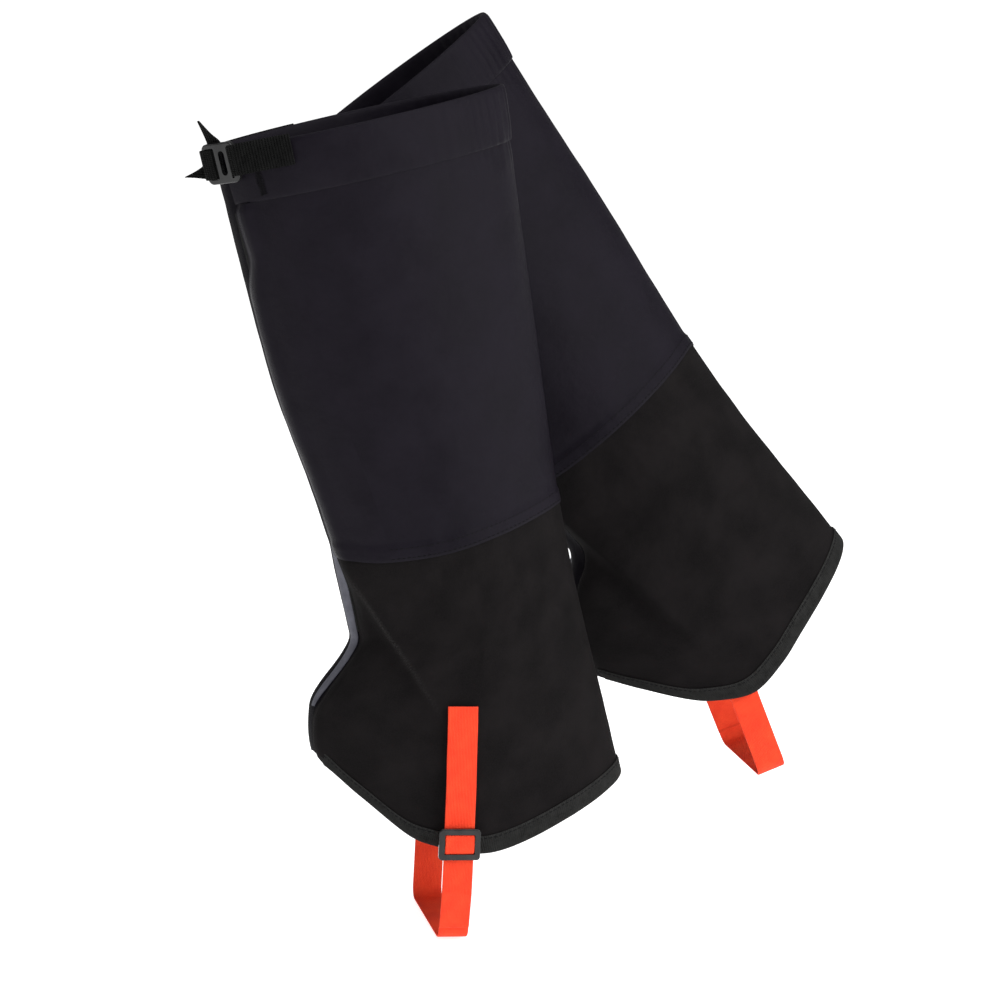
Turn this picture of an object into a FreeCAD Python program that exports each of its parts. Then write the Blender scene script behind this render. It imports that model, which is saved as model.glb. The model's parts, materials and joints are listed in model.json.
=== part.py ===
import FreeCAD, Part
import math
import os

# A pair of leg gaiters, standing in a stride as worn, in millimetres.
# The walker faces -X, +Y is the walker's right and +Z is up.
# The origin is the middle of the left gaiter's top opening.
# Each gaiter is drawn in its own frame: x to the back of the leg, y to the inner side of the leg,
# z up the shin, with its origin in the middle of its own top opening. It is then leaned and placed.

Vec = FreeCAD.Vector
os.makedirs("parts", exist_ok=True)

# ---- driving dimensions: how the two gaiters stand ----
SIDES = {
    "left": dict(lean=12.0, offset=Vec(0, 0, 0), mirrored=False, strap_top=Vec(-20.5, 0, -348.3),
        strap_slant=14.5, inner_run=45.2),
    "right": dict(lean=37.0, offset=Vec(22, 96, 5), mirrored=True, strap_top=Vec(-16.3, 0, -350),
        strap_slant=16.8, inner_run=42.4),
}

# ---- driving dimensions: the leg shape ----
# height down the shin, reach to the front, reach to the back, half width, place of the widest point
STATIONS = (
    (-445.0, 98.0, 71.0, 51.0, -18.0),
    (-395.0, 106.0, 70.0, 50.0, -16.0),
    (-362.0, 111.0, 69.0, 48.0, -12.0),
    (-338.0, 106.5, 68.0, 44.0, -8.0),
    (-300.0, 73.0, 67.0, 39.0, 0.0),
    (-256.0, 73.0, 68.0, 38.0, 0.0),
    (-130.0, 86.0, 77.0, 41.0, 0.0),
    (0.0, 90.0, 86.0, 45.0, 0.0),
)
FRONT_ROUNDNESS = 1.9
BACK_ROUNDNESS = 1.75
# distance behind the leg's axis, height of the bottom hem; the right one rides up at the heel
SIDES["left"]["hem_line"] = (
    (-114.0, -361.5),
    (-104.0, -371.5),
    (-90.0, -390.0),
    (-60.0, -424.0),
    (-20.0, -438.0),
    (30.0, -431.5),
    (70.0, -424.5),
)
SIDES["right"]["hem_line"] = (
    (-114.0, -368.0),
    (-104.0, -378.0),
    (-90.0, -394.5),
    (-60.0, -425.0),
    (-34.0, -435.5),
    (-12.0, -431.3),
    (10.0, -424.5),
    (30.0, -419.0),
    (70.0, -409.0),
)
HEM_SETTLING_STEPS = 8
TOUCHING = 1e-4

# ---- driving dimensions: fabric layers, measured outwards from the inside of the panels ----
FABRIC = 0.9
BAND = 0.7
ELASTIC = 1.1
TAPE = 0.75
WEBBING = 1.4
UNDERLAP_DEPTH = 2.8
LAYER_GAP = 0.12
EDGE_GAP = 0.3
BAND_LIFT = FABRIC + LAYER_GAP
HEM_HEIGHT = 32.0
BINDING_HEIGHT = 10.0
SEAM_HEIGHT = -252.0
SEAM_TAPE_HALF = 7.0
ELASTIC_REACH = math.radians(75)
ELASTIC_TOP = -6.0
ELASTIC_BOTTOM = -26.0

# ---- driving dimensions: front closure, as places across the front (+ is the inner side) ----
INNER_EDGE = 16.0
FLAP_EDGE = -15.0
FLAP_ROOT = -28.6
HINGE_LINE = -30.6
UNDERLAP_EDGE = -28.0
UNDERLAP_DIP = 0.45
FLAP_TOP = -34.5
FLAP_BOTTOM = -299.0
TOE_TOP = -302.0
TOE_ROOT = -30.4
HOOK_TAPE = dict(across=(-10.0, -27.0), heights=(-38.0, -298.0))
LOOP_TAPE = dict(across=(-16.0, -27.0), heights=(-40.0, -295.0))
TAPE_GAP = 0.5

# ---- driving dimensions: webbing and hardware ----
STRAP_WIDTH = 18.0
TOP_STRAP_LIFT = 1.9
ANCHOR_ACROSS = (-36.2, -24.4)
ANCHOR_HEIGHT = -5.0
ANCHOR_RISE = 5.0
RUN_ACROSS = (40.0, -6.4)
RUN_HEIGHT = -7.5
RUN_RISE = 0.9
RISES_FROM = dict(anchor=0.25, run=0.7)
BUCKLE_ACROSS = -16.2
BUCKLE_HEIGHT = -6.5
BUCKLE = dict(width=25.0, tall=24.0, thick=3.0, corner=4.0, rounding=0.9, lift=4.0)
WEBBING_WINDOW = dict(width=7.2, tall=18.6, corner=1.2, x=-6.4)
GRIP_HOLE = dict(width=4.6, tall=14.5, corner=2.25, x=2.4)
SEWN_BAR_SLOT = dict(width=1.9, tall=18.6, corner=0.9, x=8.1)
# along the buckle, low and high edge of the webbing, distance out from the buckle's back
TAIL_ROWS = (
    (-2.2, -9.0, 9.0, -0.3),
    (-7.5, -9.0, 9.0, -0.3),
    (-12.5, -9.0, 8.0, -0.2),
    (-17.0, -8.2, -0.6, 0.9),
    (-22.0, -6.6, -3.0, 3.2),
    (-27.0, -5.2, -4.4, 6.4),
)
# up the buckle, outer and inner edge of the curled corner, distance out from the buckle's back
CURL_ROWS = (
    (8.6, -9.5, 1.8, -0.3),
    (13.0, -9.8, -0.6, -0.3),
    (18.0, -10.4, -5.4, 0.3),
    (26.0, -11.2, -10.4, 1.8),
)
# place across the front, upper and lower end
STRAP_END_TACK = (-28.0, -15.5, -29.0)
RUN_TACK = (38.0, -1.0, -15.0)
TACK_HALF = 1.0
TACK_THICKNESS = 0.4
INSTEP_PLANE = 53.0
SLIDER_AT = 82.0
SLIDER = dict(width=25.0, tall=19.0, thick=2.4, corner=2.2, rounding=0.7)
SLIDER_WINDOW = dict(width=18.2, tall=12.0, corner=0.6)
SLIDER_BAR = dict(tall=2.4, thick=0.8)
SLIDER_GAP = 0.35
SLIDER_TURN = dict(clearance=0.3, thick=1.3, corner=0.5, lift=0.85)
LEAVES_PANEL = (30.0, 52.0)
FLARES_TO_SOLE = 31.0
SOLE_AT = 142.0
SOLE_HALF = 47.5
STRAP_BEND = 8.0
INNER_RUN_ENDS = (12.0, -30.0)
HOOK_ACROSS = -6.0
HOOK_HEIGHT = -350.0
HOOK_TAB = dict(half=5.0, heights=(-345.0, -356.0), thick=1.2, gap=0.5)
HOOK_LIFT = 2.8
HOOK_PATH = ((0.0, 4.0), (0.0, -11.0), (-3.5, -14.0), (-5.6, -10.5))
HOOK_BENDS = {1: 2.0, 2: 1.5}
HOOK = dict(thick=0.9, width=6.5, middle=0.5, rivet_hole=1.6)
RIVET = dict(shank=1.2, low=-1.7, head=2.6, head_low=1.25, head_thick=0.9, dome=0.6)


# ---- curves that everything is drawn from ----
def smooth_lookup(place, table, column):
    """A smooth curve through a table's rows that never overshoots them."""
    steps = [table[i + 1][0] - table[i][0] for i in range(len(table) - 1)]
    rises = [(table[i + 1][column] - table[i][column]) / steps[i] for i in range(len(steps))]
    slopes = [rises[0]]
    for before, after in zip(rises, rises[1:]):
        turning = before * after <= 0
        slopes.append(0.0 if turning else 2 * before * after / (before + after))
    slopes.append(rises[-1])
    row = 0
    while row < len(steps) - 1 and place > table[row + 1][0]:
        row += 1
    step = steps[row]
    t = (place - table[row][0]) / step
    start, stop = table[row][column], table[row + 1][column]
    if t < 0:
        return start + t * step * slopes[row]
    if t > 1:
        return stop + (t - 1) * step * slopes[row + 1]
    ends = (2 * t**3 - 3 * t**2 + 1) * start + (3 * t**2 - 2 * t**3) * stop
    bends = (t**3 - 2 * t**2 + t) * slopes[row] + (t**3 - t**2) * slopes[row + 1]
    return ends + bends * step


def section_at(height):
    """Front reach, back reach, half width and widest place of the leg at a height."""
    return [smooth_lookup(height, STATIONS, column) for column in (1, 2, 3, 4)]


def shell_point(angle, height):
    """A point inside the fabric: angle 0 is the back, 90 degrees the inner side, 180 the front."""
    front, back, half, widest = section_at(height)
    c, s = math.cos(angle), math.sin(angle)
    power = 2 / (BACK_ROUNDNESS if c > 0 else FRONT_ROUNDNESS)
    reach = back - widest if c > 0 else front + widest
    x = widest + reach * math.copysign(abs(c) ** power, c)
    y = half * math.copysign(abs(s) ** power, s)
    return Vec(x, y, height)


def shell_normal(angle, height):
    """The outward direction of the fabric."""
    turn, drop = 0.02, 1.0
    along = shell_point(angle + turn, height) - shell_point(angle - turn, height)
    upward = shell_point(angle, height + drop) - shell_point(angle, height - drop)
    return along.cross(upward).normalize()


def lifted_point(angle, height, lift):
    """A point a given distance outside the fabric's inner face."""
    return shell_point(angle, height) + shell_normal(angle, height) * lift


def front_angle(across, height):
    """The angle of the point that lies a given distance to the inner side of the front line."""
    half = section_at(height)[2]
    sine = (abs(across) / half) ** (FRONT_ROUNDNESS / 2)
    return math.pi - math.copysign(math.asin(min(1.0, sine)), across)


def lateral_angle(across, height):
    """The same point as front_angle, reached from the back round the outer side."""
    return front_angle(across, height) - 2 * math.pi


def hem_height(angle, hem_line):
    """Height of the bottom hem at an angle round the leg."""
    height = hem_line[0][1]
    for _ in range(HEM_SETTLING_STEPS):
        behind = shell_point(angle, height).x
        height = smooth_lookup(behind, hem_line, 1)
    return height


def side_width(x, z):
    """Half width of the leg at a place on its side."""
    front, back, half, widest = section_at(z)
    reach, roundness = (back - widest, BACK_ROUNDNESS) if x > widest else (front + widest, FRONT_ROUNDNESS)
    return half * (1 - abs((x - widest) / reach) ** roundness) ** (1 / roundness)


def ease(t):
    """A smooth step from 0 to 1."""
    t = min(1.0, max(0.0, t))
    return t * t * (3 - 2 * t)


# ---- solids ----
def skin(points):
    """A smooth surface through a grid of points."""
    surface = Part.BSplineSurface()
    surface.interpolate(points)
    return surface


def border(surface):
    """The four edges of a surface, in order."""
    u0, u1, v0, v1 = surface.bounds()
    curves = surface.uIso(u0), surface.vIso(v1), surface.uIso(u1), surface.vIso(v0)
    return [curve.toShape() for curve in curves]


def solid_between(inner_points, outer_points):
    """A closed solid between two grids of points."""
    inner, outer = skin(inner_points), skin(outer_points)
    faces = [inner.toShape(), outer.toShape()]
    for low, high in zip(border(inner), border(outer)):
        faces += Part.makeLoft([Part.Wire(low), Part.Wire(high)], False, True).Faces
    shell = Part.Shell(faces)
    shell.sewShape()
    solid = Part.Solid(shell)
    if solid.Volume < 0:
        solid.reverse()
    return solid


def settled_height(edge, first, last, u):
    """The height where a top or bottom edge crosses the line at a fraction between two side edges."""
    height = edge(0.0)
    for _ in range(HEM_SETTLING_STEPS):
        height = edge(first(height) * (1 - u) + last(height) * u)
    return height


def fabric_patch(first, last, top, bottom, inner, outer, columns=9, rows=9):
    """A layer of fabric. first and last give its side edges as angles at a height, top and bottom
    give its heights at an angle, and inner and outer its lifts at a fraction across it."""
    grids = ([], [])
    for i in range(columns):
        u = i / (columns - 1)
        start = settled_height(top, first, last, u)
        stop = settled_height(bottom, first, last, u)
        lines = ([], [])
        for j in range(rows):
            height = start + (stop - start) * j / (rows - 1)
            angle = first(height) * (1 - u) + last(height) * u
            lines[0].append(lifted_point(angle, height, inner(u)))
            lines[1].append(lifted_point(angle, height, outer(u)))
        grids[0].append(lines[0])
        grids[1].append(lines[1])
    return solid_between(*grids)


def always(value):
    """A function that gives the same value everywhere."""
    return lambda _: value


def across_front(across):
    return lambda height: front_angle(across, height)


def across_outer(across):
    return lambda height: lateral_angle(across, height)


def front_strip(across, heights, low, high, columns=5, rows=31):
    """A layer between two places across the front and two heights."""
    first, last = (across_front(place) for place in across)
    top, bottom = (always(height) for height in heights)
    return fabric_patch(first, last, top, bottom, always(low), always(high), columns, rows)


def round_leg(top, bottom, low, high, outer_edge=HINGE_LINE, columns=49, rows=13):
    """A layer that goes round the leg from the outer front edge to the inner front edge."""
    first, last = across_outer(outer_edge), across_front(INNER_EDGE)
    return fabric_patch(first, last, top, bottom, always(low), always(high), columns, rows)


def frame_at(across, height, lift):
    """Position, sideways, upward and outward directions of hardware on the front."""
    angle = front_angle(across, height)
    out = shell_normal(angle, height)
    side = Vec(0, 0, 1).cross(out).normalize()
    up = out.cross(side)
    return lifted_point(angle, height, lift), side, up, out


def set_on(shape, origin, side, up, out):
    """Moves a shape drawn at the origin into a frame."""
    matrix = FreeCAD.Matrix(
        side.x, up.x, out.x, origin.x,
        side.y, up.y, out.y, origin.y,
        side.z, up.z, out.z, origin.z,
        0, 0, 0, 1,
    )
    return shape.transformed(matrix, True)


def rounded_block(width, tall, thick, corner):
    """A plate lying on z = 0 with rounded upright corners."""
    block = Part.makeBox(width, tall, thick, Vec(-width / 2, -tall / 2, 0))
    upright = [edge for edge in block.Edges if abs(edge.tangentAt(edge.FirstParameter).z) > 0.9]
    return block.makeFillet(corner, upright)


def hole(width, tall, thick, corner, x=0.0):
    """A cutter for a rounded window through a plate."""
    cutter = rounded_block(width, tall, thick * 2, corner)
    cutter.translate(Vec(x, 0, -thick / 2))
    return cutter


def round_top_rim(plate, thick, rounding):
    """Rounds the outer edges of a plate's upper face."""
    on_top = [edge for edge in plate.Edges if min(v.Point.z for v in edge.Vertexes) > thick - TOUCHING]
    return plate.makeFillet(rounding, on_top)


def bent_band(path, thickness, width, bends):
    """A flat band along a path in the x-y plane, as wide as width along z, with rounded bends."""
    half = thickness / 2
    rims = ([], [])
    for i, point in enumerate(path):
        here = Vec(*point, 0)
        before = Vec(*path[max(0, i - 1)], 0)
        after = Vec(*path[min(len(path) - 1, i + 1)], 0)
        runs = [(here - before).normalize()] if i else []
        runs += [(after - here).normalize()] if i < len(path) - 1 else []
        normals = [Vec(-run.y, run.x, 0) for run in runs]
        middle = (normals[0] + normals[-1]).normalize()
        reach = half / middle.dot(normals[0])
        rims[0].append(here + middle * reach)
        rims[1].append(here - middle * reach)
    outline = rims[0] + rims[1][::-1]
    face = Part.Face(Part.makePolygon(outline + outline[:1]))
    band = face.extrude(Vec(0, 0, width))
    band.translate(Vec(0, 0, -width / 2))
    for corner, radius in bends.items():
        for rim, grown in zip(rims, (1, -1)):
            spot = rim[corner]
            centre_side = turn_of(path, corner)
            size = radius + half if grown == centre_side else radius - half
            edges = [e for e in band.Edges if is_upright_at(e, spot)]
            band = band.makeFillet(size, edges)
    return band


def turn_of(path, corner):
    """Which rim of a band is on the outside of a bend."""
    (x0, y0), (x1, y1), (x2, y2) = path[corner - 1], path[corner], path[corner + 1]
    turn = (x1 - x0) * (y2 - y1) - (y1 - y0) * (x2 - x1)
    return -1 if turn > 0 else 1


def is_upright_at(edge, spot):
    """Whether an edge runs along z through a place."""
    ends = [vertex.Point for vertex in edge.Vertexes]
    return len(ends) == 2 and all(math.hypot(p.x - spot.x, p.y - spot.y) < TOUCHING for p in ends)


# ---- sewn pieces ----
def sewn_pieces(side):
    """Panels, hems, tapes and the front underlap."""
    hem = lambda angle: hem_height(angle, side["hem_line"])
    above_hem = lambda angle: hem(angle) + BINDING_HEIGHT
    pieces = {}
    pieces["upper_panel"] = round_leg(always(0.0), always(SEAM_HEIGHT), 0, FABRIC)
    pieces["lower_panel"] = round_leg(always(SEAM_HEIGHT), hem, 0, FABRIC, rows=29)
    pieces["ankle_seam_tape"] = round_leg(
        always(SEAM_HEIGHT + SEAM_TAPE_HALF), always(SEAM_HEIGHT - SEAM_TAPE_HALF),
        -LAYER_GAP - BAND, -LAYER_GAP, rows=7)
    pieces["top_hem"] = round_leg(
        always(0.0), always(-HEM_HEIGHT), BAND_LIFT, BAND_LIFT + BAND, outer_edge=FLAP_EDGE, rows=5)
    pieces["top_elastic"] = fabric_patch(
        always(-ELASTIC_REACH), always(ELASTIC_REACH), always(ELASTIC_TOP), always(ELASTIC_BOTTOM),
        always(-LAYER_GAP - ELASTIC), always(-LAYER_GAP), 33, 5)
    pieces["bottom_binding"] = round_leg(
        above_hem, hem, BAND_LIFT, BAND_LIFT + BAND, outer_edge=FLAP_EDGE, rows=5)
    pieces["toe_flap"] = fabric_patch(
        across_front(FLAP_EDGE), across_front(TOE_ROOT), always(TOE_TOP), hem,
        always(0), always(FABRIC), 7, 21)
    depth = lambda u: -UNDERLAP_DEPTH * ease(u / UNDERLAP_DIP)
    pieces["front_underlap"] = fabric_patch(
        across_front(INNER_EDGE - EDGE_GAP), across_front(UNDERLAP_EDGE), always(-2.0), hem,
        depth, lambda u: depth(u) + FABRIC, 13, 35)
    tape_low = FABRIC - UNDERLAP_DEPTH
    pieces["hook_tape"] = front_strip(
        HOOK_TAPE["across"], HOOK_TAPE["heights"], tape_low + LAYER_GAP, -TAPE - TAPE_GAP)
    return pieces


def flap_pieces():
    """The closure flap, which opens outwards from the hinge line."""
    upper = front_strip((FLAP_EDGE, FLAP_ROOT), (FLAP_TOP, SEAM_HEIGHT), 0, FABRIC)
    lower = front_strip((FLAP_EDGE, FLAP_ROOT), (SEAM_HEIGHT, FLAP_BOTTOM), 0, FABRIC, rows=9)
    loop = front_strip(
        LOOP_TAPE["across"], LOOP_TAPE["heights"], -LAYER_GAP - TAPE, -LAYER_GAP)
    return {"flap_upper": upper, "flap_lower": lower, "loop_tape": loop}


# ---- top strap ----
def buckle_frame():
    return frame_at(BUCKLE_ACROSS, BUCKLE_HEIGHT, BUCKLE["lift"])


def ladder_buckle():
    """A ladder-lock buckle: webbing window, oval grip hole and a bar for the sewn strap."""
    width, tall, thick = BUCKLE["width"], BUCKLE["tall"], BUCKLE["thick"]
    plate = rounded_block(width, tall, thick, BUCKLE["corner"])
    plate = round_top_rim(plate, thick, BUCKLE["rounding"])
    for opening in (WEBBING_WINDOW, GRIP_HOLE, SEWN_BAR_SLOT):
        plate = plate.cut(hole(thick=thick, **opening))
    return plate


def ruled_webbing(rows, upright):
    """Webbing through straight lines between two edges; upright when its rows run across x."""
    grids = ([], [])
    for middle, low, high, lift in rows:
        lines = ([], [])
        for edge in (low, high):
            x, y = (edge, middle) if upright else (middle, edge)
            lines[0].append(Vec(x, y, lift - WEBBING))
            lines[1].append(Vec(x, y, lift))
        grids[0].append(lines[0])
        grids[1].append(lines[1])
    return solid_between(*grids)


def strap_tail():
    """The webbing behind the window, its pointed lower end and its curled upper corner."""
    end = ruled_webbing(TAIL_ROWS, upright=False)
    curl = ruled_webbing(CURL_ROWS, upright=True)
    return end.fuse(curl)


def strap_band(across, middle, rise, rises_from, columns):
    """Webbing that lies on the top hem and rises from it towards the buckle."""
    first, last = (across_front(place) for place in across)
    top, bottom = middle + STRAP_WIDTH / 2, middle - STRAP_WIDTH / 2
    low = lambda u: TOP_STRAP_LIFT + rise * max(0.0, (u - rises_from) / (1 - rises_from)) ** 2
    high = lambda u: low(u) + WEBBING
    return fabric_patch(first, last, always(top), always(bottom), low, high, columns, 4)


def bar_tack(across, top, bottom, lift):
    """A dense zigzag of thread."""
    sides = (across + TACK_HALF, across - TACK_HALF)
    return front_strip(sides, (top, bottom), lift, lift + TACK_THICKNESS, 4, 4)


# ---- instep strap ----
def strap_frame(side):
    """Down-strap and across-strap directions of the instep strap."""
    slant = math.radians(side["strap_slant"])
    return Vec(-math.sin(slant), 0, -math.cos(slant)), Vec(math.cos(slant), 0, -math.sin(slant))


def instep_upper(side):
    """Webbing sewn to the outer side of the lower panel, down to the slider."""
    down, over = strap_frame(side)
    start, stop = LEAVES_PANEL
    columns, rows = 4, 13
    grids = ([], [])
    for i in range(columns):
        lines = ([], [])
        for j in range(rows):
            along = SLIDER_AT * j / (rows - 1)
            spot = side["strap_top"] + down * along + over * (STRAP_WIDTH * (i / (columns - 1) - 0.5))
            on_panel = side_width(spot.x, spot.z) + FABRIC + EDGE_GAP
            plane = ease((along - start) / (stop - start))
            reach = on_panel * (1 - plane) + INSTEP_PLANE * plane
            lines[0].append(Vec(spot.x, -reach, spot.z))
            lines[1].append(Vec(spot.x, -reach - WEBBING, spot.z))
        grids[0].append(lines[0])
        grids[1].append(lines[1])
    return solid_between(*grids)


def instep_lower(side):
    """Webbing from the slider, under the foot, to the inner side of the lower panel."""
    middle = INSTEP_PLANE + WEBBING / 2
    inner = side["inner_run"]
    path = (
        (-middle, SLIDER_AT + LAYER_GAP),
        (-middle, SLIDER_AT + FLARES_TO_SOLE),
        (-SOLE_HALF, SOLE_AT),
        (SOLE_HALF, SOLE_AT),
        (inner, SLIDER_AT + INNER_RUN_ENDS[0]),
        (inner, SLIDER_AT + INNER_RUN_ENDS[1]),
    )
    band = bent_band(path, WEBBING, STRAP_WIDTH, {2: STRAP_BEND, 3: STRAP_BEND})
    down, over = strap_frame(side)
    return set_on(band, side["strap_top"], Vec(0, 1, 0), down, over * -1)


def slider_frame(side):
    down, over = strap_frame(side)
    reach = INSTEP_PLANE + WEBBING + SLIDER_GAP
    origin = side["strap_top"] + down * SLIDER_AT + Vec(0, -reach, 0)
    return origin, over, down * -1, Vec(0, -1, 0)


def tri_glide():
    """A rectangular slider with a thin middle bar."""
    thick = SLIDER["thick"]
    plate = rounded_block(SLIDER["width"], SLIDER["tall"], thick, SLIDER["corner"])
    plate = round_top_rim(plate, thick, SLIDER["rounding"]).cut(hole(thick=thick, **SLIDER_WINDOW))
    span, tall = SLIDER_WINDOW["width"], SLIDER_BAR["tall"]
    bar = Part.makeBox(span, tall, SLIDER_BAR["thick"], Vec(-span / 2, -tall / 2, 0))
    return plate.fuse(bar).removeSplitter()


def slider_webbing():
    """The turn of webbing that shows in the slider's window, over its middle bar."""
    spare = 2 * SLIDER_TURN["clearance"]
    width, tall = SLIDER_WINDOW["width"] - spare, SLIDER_WINDOW["tall"] - spare
    webbing = rounded_block(width, tall, SLIDER_TURN["thick"], SLIDER_TURN["corner"])
    webbing.translate(Vec(0, 0, SLIDER_TURN["lift"]))
    return webbing


# ---- lace hook ----
def hook_frame():
    """Like frame_at, on the underlap's leg side and facing the boot."""
    origin, side, up, out = frame_at(HOOK_ACROSS, HOOK_HEIGHT, -UNDERLAP_DEPTH - HOOK_LIFT)
    return origin, side * -1, up, out * -1


def lace_hook():
    """A bent metal hook with a rivet hole."""
    band = bent_band(HOOK_PATH, HOOK["thick"], HOOK["width"], HOOK_BENDS)
    band.rotate(Vec(0, 0, 0), Vec(0, 1, 0), 90)
    band.translate(Vec(0, 0, HOOK["middle"]))
    drill = Part.makeCylinder(HOOK["rivet_hole"], HOOK["width"], Vec(0, 0, -HOOK["width"] / 2))
    return band.cut(drill)


def hook_rivet():
    """A domed rivet through the hook and its tab."""
    top = RIVET["head_low"] + RIVET["head_thick"] / 2
    shank = Part.makeCylinder(RIVET["shank"], top - RIVET["low"], Vec(0, 0, RIVET["low"]))
    head = Part.makeCylinder(RIVET["head"], RIVET["head_thick"], Vec(0, 0, RIVET["head_low"]))
    head = head.makeFillet(RIVET["dome"], [head.Edges[0]])
    return shank.fuse(head).removeSplitter()


def hook_tab():
    """The small webbing tab behind the hook."""
    sides = (HOOK_ACROSS + HOOK_TAB["half"], HOOK_ACROSS - HOOK_TAB["half"])
    high = -UNDERLAP_DEPTH - HOOK_TAB["gap"]
    return front_strip(sides, HOOK_TAB["heights"], high - HOOK_TAB["thick"], high, 4, 5)


# ---- one gaiter ----
def gaiter(side):
    """Every piece of one gaiter in its own frame."""
    pieces = sewn_pieces(side)
    pieces.update(flap_pieces())
    pieces["top_strap_anchor"] = strap_band(
        ANCHOR_ACROSS, ANCHOR_HEIGHT, ANCHOR_RISE, RISES_FROM["anchor"], 9)
    pieces["top_strap_run"] = strap_band(RUN_ACROSS, RUN_HEIGHT, RUN_RISE, RISES_FROM["run"], 15)
    pieces["buckle"] = set_on(ladder_buckle(), *buckle_frame())
    pieces["top_strap_tail"] = set_on(strap_tail(), *buckle_frame())
    pieces["instep_strap_upper"] = instep_upper(side)
    pieces["instep_strap_lower"] = instep_lower(side)
    pieces["slider"] = set_on(tri_glide(), *slider_frame(side))
    pieces["slider_webbing"] = set_on(slider_webbing(), *slider_frame(side))
    pieces["lace_hook"] = set_on(lace_hook(), *hook_frame())
    pieces["hook_rivet"] = set_on(hook_rivet(), *hook_frame())
    pieces["hook_tab"] = hook_tab()
    hem_face = BAND_LIFT + BAND + LAYER_GAP
    strap_face = TOP_STRAP_LIFT + WEBBING + LAYER_GAP
    tacks = [bar_tack(*STRAP_END_TACK, hem_face), bar_tack(*RUN_TACK, strap_face)]
    pieces["bar_tacks"] = Part.Compound(tacks)
    return pieces


def placed(shape, side):
    """Leans a gaiter's piece and moves it to its place."""
    if side["mirrored"]:
        shape = shape.mirror(Vec(0, 0, 0), Vec(0, 1, 0))
    shape.rotate(Vec(0, 0, 0), Vec(0, 1, 0), -side["lean"])
    shape.translate(side["offset"])
    return shape


for side_name, side in SIDES.items():
    for piece_name, shape in gaiter(side).items():
        placed(shape, side).exportStep(f"parts/{side_name}_{piece_name}.step")
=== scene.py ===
import json
import math

import bpy
import numpy as np
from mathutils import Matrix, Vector


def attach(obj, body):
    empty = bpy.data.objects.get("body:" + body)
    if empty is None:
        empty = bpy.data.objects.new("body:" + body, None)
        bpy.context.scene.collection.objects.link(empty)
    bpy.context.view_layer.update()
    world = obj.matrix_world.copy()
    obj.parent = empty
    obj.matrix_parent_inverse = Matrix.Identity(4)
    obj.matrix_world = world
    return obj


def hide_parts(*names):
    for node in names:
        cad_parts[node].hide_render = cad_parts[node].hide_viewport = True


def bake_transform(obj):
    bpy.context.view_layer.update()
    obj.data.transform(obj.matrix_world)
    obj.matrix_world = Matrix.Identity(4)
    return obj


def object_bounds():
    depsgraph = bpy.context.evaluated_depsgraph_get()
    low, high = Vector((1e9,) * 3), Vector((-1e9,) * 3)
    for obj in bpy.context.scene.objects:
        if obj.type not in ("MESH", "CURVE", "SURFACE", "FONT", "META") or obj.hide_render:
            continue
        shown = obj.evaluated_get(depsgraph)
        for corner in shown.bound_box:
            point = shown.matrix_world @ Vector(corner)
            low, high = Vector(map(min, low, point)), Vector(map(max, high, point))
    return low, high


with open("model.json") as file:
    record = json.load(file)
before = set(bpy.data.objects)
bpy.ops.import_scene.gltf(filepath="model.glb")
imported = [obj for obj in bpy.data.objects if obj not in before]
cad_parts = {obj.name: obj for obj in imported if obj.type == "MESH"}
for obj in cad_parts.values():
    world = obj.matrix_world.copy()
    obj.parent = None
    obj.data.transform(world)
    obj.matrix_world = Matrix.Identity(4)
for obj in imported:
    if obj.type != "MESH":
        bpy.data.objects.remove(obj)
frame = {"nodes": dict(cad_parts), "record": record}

CAD_LOW, CAD_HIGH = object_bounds()
MM = 0.001

# ---- driving dimensions, in millimetres, the same as the frame's ----
STATIONS = (
    (-445.0, 98.0, 71.0, 51.0, -18.0),
    (-395.0, 106.0, 70.0, 50.0, -16.0),
    (-362.0, 111.0, 69.0, 48.0, -12.0),
    (-338.0, 106.5, 68.0, 44.0, -8.0),
    (-300.0, 73.0, 67.0, 39.0, 0.0),
    (-256.0, 73.0, 68.0, 38.0, 0.0),
    (-130.0, 86.0, 77.0, 41.0, 0.0),
    (0.0, 90.0, 86.0, 45.0, 0.0),
)
FRONT_ROUNDNESS = 1.9
BACK_ROUNDNESS = 1.75
SETTLING_STEPS = 8

SIDES = {
    "left": dict(mirrored=False, strap_top=(-20.5, 0.0, -348.3), strap_slant=14.5, inner_run=45.2),
    "right": dict(mirrored=True, strap_top=(-16.3, 0.0, -350.0), strap_slant=16.8, inner_run=42.4),
}
# distance behind the leg's axis, height of the bottom hem. The right hem rides up at the heel.
SIDES["left"]["hem_line"] = (
    (-114.0, -361.5),
    (-104.0, -371.5),
    (-90.0, -390.0),
    (-60.0, -424.0),
    (-20.0, -438.0),
    (30.0, -431.5),
    (70.0, -424.5),
)
SIDES["right"]["hem_line"] = (
    (-114.0, -368.0),
    (-104.0, -378.0),
    (-90.0, -394.5),
    (-60.0, -425.0),
    (-34.0, -435.5),
    (-12.0, -431.3),
    (10.0, -424.5),
    (30.0, -419.0),
    (70.0, -409.0),
)

FABRIC = 0.9
LOWER_FABRIC = FABRIC - 0.08
PANEL_TOP = -0.4
UNDERLAP_DEPTH = 2.8
UNDERLAP_DIP = 0.45
HEM_HEIGHT = 32.0
BINDING_HEIGHT = 10.0
SEAM_HEIGHT = -252.0
SEAM_LAP = 8.0
INNER_EDGE = 16.0
FLAP_EDGE = -15.0
HINGE_LINE = -30.6
UNDERLAP_EDGE = -28.0
FLAP_TOP = -32.3
HOOK_TAPE = dict(across=(-10.0, -27.0), heights=(-38.0, -298.0))
LOOP_TAPE = dict(across=(-16.0, -27.0), heights=(-40.0, -295.0))

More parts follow.
